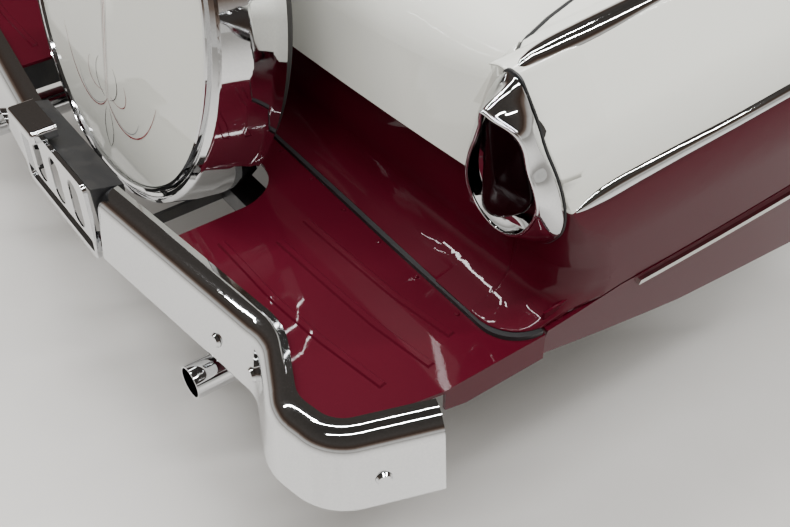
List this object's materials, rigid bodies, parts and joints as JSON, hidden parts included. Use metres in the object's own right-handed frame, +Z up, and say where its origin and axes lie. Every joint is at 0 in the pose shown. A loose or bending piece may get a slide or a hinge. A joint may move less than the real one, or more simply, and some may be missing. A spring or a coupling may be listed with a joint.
{
  "type": "car tail section with rear-mounted spare wheel",
  "caption": "Rear end of a 1950s convertible: opening boot lid, tail lamps, bright split bumper, ribbed extension pan and a covered spare wheel carried behind the boot.",
  "frame": {"origin": "middle of the four bolt holes at the front ends of the two frame rails, on the face of the splice plates", "axes": "+X the car's right, +Y forward, +Z up"},
  "size_m": [1.926, 1.502, 0.8858],
  "materials": {
    "white_paint": "gloss cream white paint",
    "red_paint": "gloss dark red paint",
    "bright": "bright chromium plate",
    "black_metal": "satin black paint",
    "zinc": "plain steel",
    "tyre": "black tyre rubber",
    "seal": "black rubber",
    "lens": "deep red lens"
  },
  "bodies": {
    "body": {"belt_mouldings": "bright", "boot_floor": "black_metal", "boot_front_wall": "black_metal", "boot_side_walls": "black_metal", "bumper_bar_left": "bright", "bumper_bar_right": "bright", "bumper_bolts": "bright", "bumper_irons": "black_metal", "cover_disc": "white_paint", "cover_ring": "bright", "exhaust_hangers": "black_metal", "exhaust_pipes": "zinc", "exhaust_tips": "bright", "extension_pan": "red_paint", "fender_spears": "bright", "frame_rails": "black_metal", "lamp_bezels": "bright", "lamp_gaskets": "seal", "lamp_lenses": "lens", "lid_arm_brackets": "black_metal", "lower_side_left": "red_paint", "lower_side_right": "red_paint", "lower_side_strips": "bright", "pan_welt": "seal", "plate_housing": "black_metal", "quarter_panel_left": "red_paint", "quarter_panel_right": "red_paint", "rear_cross_member": "black_metal", "rear_panel": "red_paint", "spare_carrier": "black_metal", "spare_tyre": "tyre", "spare_wheel": "white_paint", "tulip_panel": "white_paint", "wheelhouses": "black_metal"},
    "boot_lid": {"deck_lid": "white_paint", "lid_arms": "black_metal"},
    "plate_holder": {"plate_frame": "bright", "plate_lamp": "bright"}
  },
  "joints": [
    {"name": "boot_lid_hinge", "type": "hinge", "parent": "body", "child": "boot_lid", "pos_m": [0, -0.062, 0.42], "axis": [-1, 0, 0], "range_deg": [0, 60]},
    {"name": "plate_hinge", "type": "hinge", "parent": "body", "child": "plate_holder", "pos_m": [0, -1.444, 0.004], "axis": [1, 0, 0], "range_deg": [0, 70]}
  ]
}
